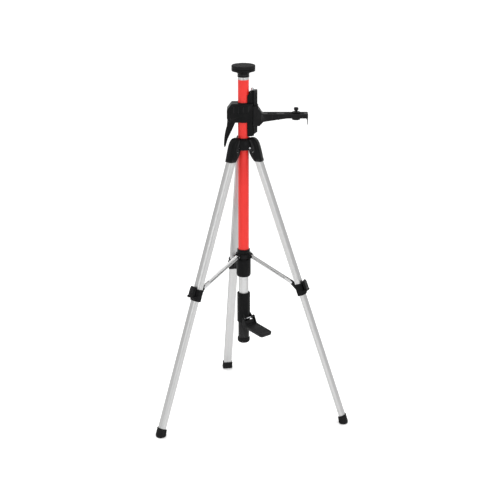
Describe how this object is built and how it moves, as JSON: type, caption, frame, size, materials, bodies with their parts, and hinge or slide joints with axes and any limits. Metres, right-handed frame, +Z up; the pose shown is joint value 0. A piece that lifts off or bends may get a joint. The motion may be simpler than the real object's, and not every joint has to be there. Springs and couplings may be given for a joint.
{
  "type": "laser level tripod pole",
  "caption": "Telescopic red pole on a folding tripod with strut spreader, foot pedal, ceiling pad, and a cam clamp with a sliding bracket arm and stud for a laser level.",
  "frame": {"origin": "on the floor, under the pole's axis", "axes": "+Z up along the pole, +X along the bracket arm"},
  "size_m": [0.5448, 0.5204, 1.007],
  "materials": {
    "red_paint": "satin",
    "aluminium_tube": "satin anodised",
    "steel": "zinc plated",
    "strut_metal": "pressed, satin",
    "nylon": "matte",
    "rubber": "matte",
    "black_metal": "satin black",
    "black_casting": "fine moulded texture",
    "brass": "machined",
    "black_plastic": "fine moulded texture"
  },
  "bodies": {
    "pole": {"pole_tube": "red_paint", "pole_top_plug": "aluminium_tube", "spring_seat": "steel", "head_body": "black_plastic", "head_screws": "steel", "leg_pins": "steel", "pole_collet": "nylon", "pad_spring": "steel"},
    "twist_lock": {"twist_lock": "black_plastic"},
    "ceiling_pad": {"pad_cup": "black_plastic", "pad_rubber": "rubber", "pad_stem": "steel"},
    "leg_1": {"leg_shell_1": "black_plastic", "leg_upper_tube_1": "aluminium_tube", "leg_collar_1": "black_plastic"},
    "lower_leg_1": {"leg_lower_tube_1": "aluminium_tube", "leg_bush_1": "nylon", "leg_foot_1": "rubber"},
    "flip_lever_1": {"flip_lever_1": "black_plastic"},
    "leg_2": {"leg_shell_2": "black_plastic", "leg_upper_tube_2": "aluminium_tube", "leg_collar_2": "black_plastic"},
    "lower_leg_2": {"leg_lower_tube_2": "aluminium_tube", "leg_bush_2": "nylon", "leg_foot_2": "rubber"},
    "flip_lever_2": {"flip_lever_2": "black_plastic"},
    "leg_3": {"leg_shell_3": "black_plastic", "leg_upper_tube_3": "aluminium_tube", "leg_collar_3": "black_plastic"},
    "lower_leg_3": {"leg_lower_tube_3": "aluminium_tube", "leg_bush_3": "nylon", "leg_foot_3": "rubber"},
    "flip_lever_3": {"flip_lever_3": "black_plastic"},
    "hub": {"hub": "black_plastic", "hub_pins": "steel"},
    "strut_1": {"strut_1": "strut_metal", "strut_rivet_1": "steel"},
    "strut_2": {"strut_2": "strut_metal", "strut_rivet_2": "steel"},
    "strut_3": {"strut_3": "strut_metal", "strut_rivet_3": "steel"},
    "lower_pole": {"inner_tube": "aluminium_tube", "inner_bush": "nylon", "jack_sleeve": "black_plastic", "pedal_pin": "steel"},
    "jack": {"jack_tube": "black_metal", "pole_foot": "rubber"},
    "pedal": {"pedal": "black_casting"},
    "clamp_liner": {"clamp_liner": "nylon"},
    "clamp": {"clamp_body": "black_plastic", "rail": "black_plastic", "rail_screws": "steel", "lever_pin": "steel"},
    "cam_lever": {"cam_lever": "black_plastic"},
    "height_screw": {"height_screw": "steel"},
    "carriage": {"bracket_arm": "black_casting", "drive_nut": "brass"},
    "stud_slider": {"stud_flange": "black_plastic"},
    "stud_screw": {"laser_stud": "black_metal", "stud_knob": "black_plastic"}
  },
  "joints": [
    {"name": "pad_press", "type": "slide", "parent": "pole", "child": "ceiling_pad", "axis": [0, 0, 1], "range_m": [-0.012, 0], "stiffness_N_per_m": 1200, "springref_m": 0.015, "deforming": ["pad_spring"]},
    {"name": "twist_lock_turn", "type": "hinge", "parent": "pole", "child": "twist_lock", "pos_m": [0, 0, 0.43], "axis": [0, 0, 1], "range_deg": [0, 90]},
    {"name": "leg_fold_1", "type": "hinge", "parent": "pole", "child": "leg_1", "pos_m": [-0.00417, 0.02364, 0.782], "axis": [-0.9848, -0.1736, 0], "range_deg": [0, 14]},
    {"name": "lower_leg_slide_1", "type": "slide", "parent": "leg_1", "child": "lower_leg_1", "axis": [0.0571, -0.3239, 0.9444], "range_m": [0, 0.3]},
    {"name": "flip_lever_open_1", "type": "hinge", "parent": "leg_1", "child": "flip_lever_1", "pos_m": [-0.03252, 0.18441, 0.38617], "axis": [-0.9848, -0.1736, 0], "range_deg": [0, 100]},
    {"name": "leg_fold_2", "type": "hinge", "parent": "pole", "child": "leg_2", "pos_m": [-0.01839, -0.01543, 0.782], "axis": [0.6428, -0.766, 0], "range_deg": [0, 14]},
    {"name": "lower_leg_slide_2", "type": "slide", "parent": "leg_2", "child": "lower_leg_2", "axis": [0.2519, 0.2114, 0.9444], "range_m": [0, 0.3]},
    {"name": "flip_lever_open_2", "type": "hinge", "parent": "leg_2", "child": "flip_lever_2", "pos_m": [-0.14345, -0.12037, 0.38617], "axis": [0.6428, -0.766, 0], "range_deg": [0, 100]},
    {"name": "leg_fold_3", "type": "hinge", "parent": "pole", "child": "leg_3", "pos_m": [0.02255, -0.00821, 0.782], "axis": [0.342, 0.9397, 0], "range_deg": [0, 14]},
    {"name": "lower_leg_slide_3", "type": "slide", "parent": "leg_3", "child": "lower_leg_3", "axis": [-0.309, 0.1125, 0.9444], "range_m": [0, 0.3]},
    {"name": "flip_lever_open_3", "type": "hinge", "parent": "leg_3", "child": "flip_lever_3", "pos_m": [0.17596, -0.06405, 0.38617], "axis": [0.342, 0.9397, 0], "range_deg": [0, 100]},
    {"name": "hub_slide", "type": "slide", "parent": "pole", "child": "hub", "axis": [0, 0, 1], "range_m": [0, 0.0532]},
    {"name": "strut_swing_1", "type": "hinge", "parent": "hub", "child": "strut_1", "pos_m": [-0.00391, 0.02216, 0.467], "axis": [-0.9848, -0.1736, 0], "range_deg": [0, 52.1]},
    {"name": "strut_swing_2", "type": "hinge", "parent": "hub", "child": "strut_2", "pos_m": [-0.01724, -0.01446, 0.467], "axis": [0.6428, -0.766, 0], "range_deg": [0, 52.1]},
    {"name": "strut_swing_3", "type": "hinge", "parent": "hub", "child": "strut_3", "pos_m": [0.02114, -0.0077, 0.467], "axis": [0.342, 0.9397, 0], "range_deg": [0, 52.1]},
    {"name": "lower_pole_slide", "type": "slide", "parent": "pole", "child": "lower_pole", "axis": [0, 0, -1], "range_m": [0, 0.2]},
    {"name": "pedal_lift", "type": "hinge", "parent": "lower_pole", "child": "pedal", "pos_m": [0.01364, -0.01463, 0.285], "axis": [-0.7314, -0.682, 0], "range_deg": [0, 65]},
    {"name": "jack_slide", "type": "slide", "parent": "lower_pole", "child": "jack", "axis": [0, 0, 1], "range_m": [0, 0.0151]},
    {"name": "clamp_slide", "type": "slide", "parent": "pole", "child": "clamp_liner", "axis": [0, 0, 1], "range_m": [0, 0.025]},
    {"name": "clamp_swivel", "type": "hinge", "parent": "clamp_liner", "child": "clamp", "pos_m": [0, 0, 0.878], "axis": [0, 0, 1], "continuous": true},
    {"name": "cam_lever_open", "type": "hinge", "parent": "clamp", "child": "cam_lever", "pos_m": [-0.035, 0, 0.862], "axis": [0, 1, 0], "range_deg": [0, 95]},
    {"name": "carriage_slide", "type": "slide", "parent": "clamp", "child": "carriage", "axis": [0, 0, 1], "range_m": [-0.025, 0.035]},
    {"name": "height_screw_turn", "type": "hinge", "parent": "clamp", "child": "height_screw", "pos_m": [0.0245, 0, 0.9], "axis": [0, 0, 1], "range_deg": [-2260, 3160]},
    {"name": "stud_slide", "type": "slide", "parent": "carriage", "child": "stud_slider", "axis": [1, 0, 0], "range_m": [-0.013, 0.012]},
    {"name": "stud_turn", "type": "hinge", "parent": "stud_slider", "child": "stud_screw", "pos_m": [0.1433, 0, 0.87], "axis": [0, 0, 1], "continuous": true}
  ],
  "couplings": [
    {"joint": "leg_fold_2", "follows": "leg_fold_1", "ratio": 1},
    {"joint": "leg_fold_3", "follows": "leg_fold_1", "ratio": 1},
    {"joint": "hub_slide", "follows": "leg_fold_1", "m_per_rad": 0.2173},
    {"joint": "strut_swing_1", "follows": "leg_fold_1", "ratio": 3.7183},
    {"joint": "strut_swing_2", "follows": "leg_fold_1", "ratio": 3.7183},
    {"joint": "strut_swing_3", "follows": "leg_fold_1", "ratio": 3.7183},
    {"joint": "jack_slide", "follows": "pedal_lift", "m_per_rad": 0.013222},
    {"joint": "height_screw_turn", "follows": "carriage_slide", "rad_per_m": 1570.8}
  ]
}
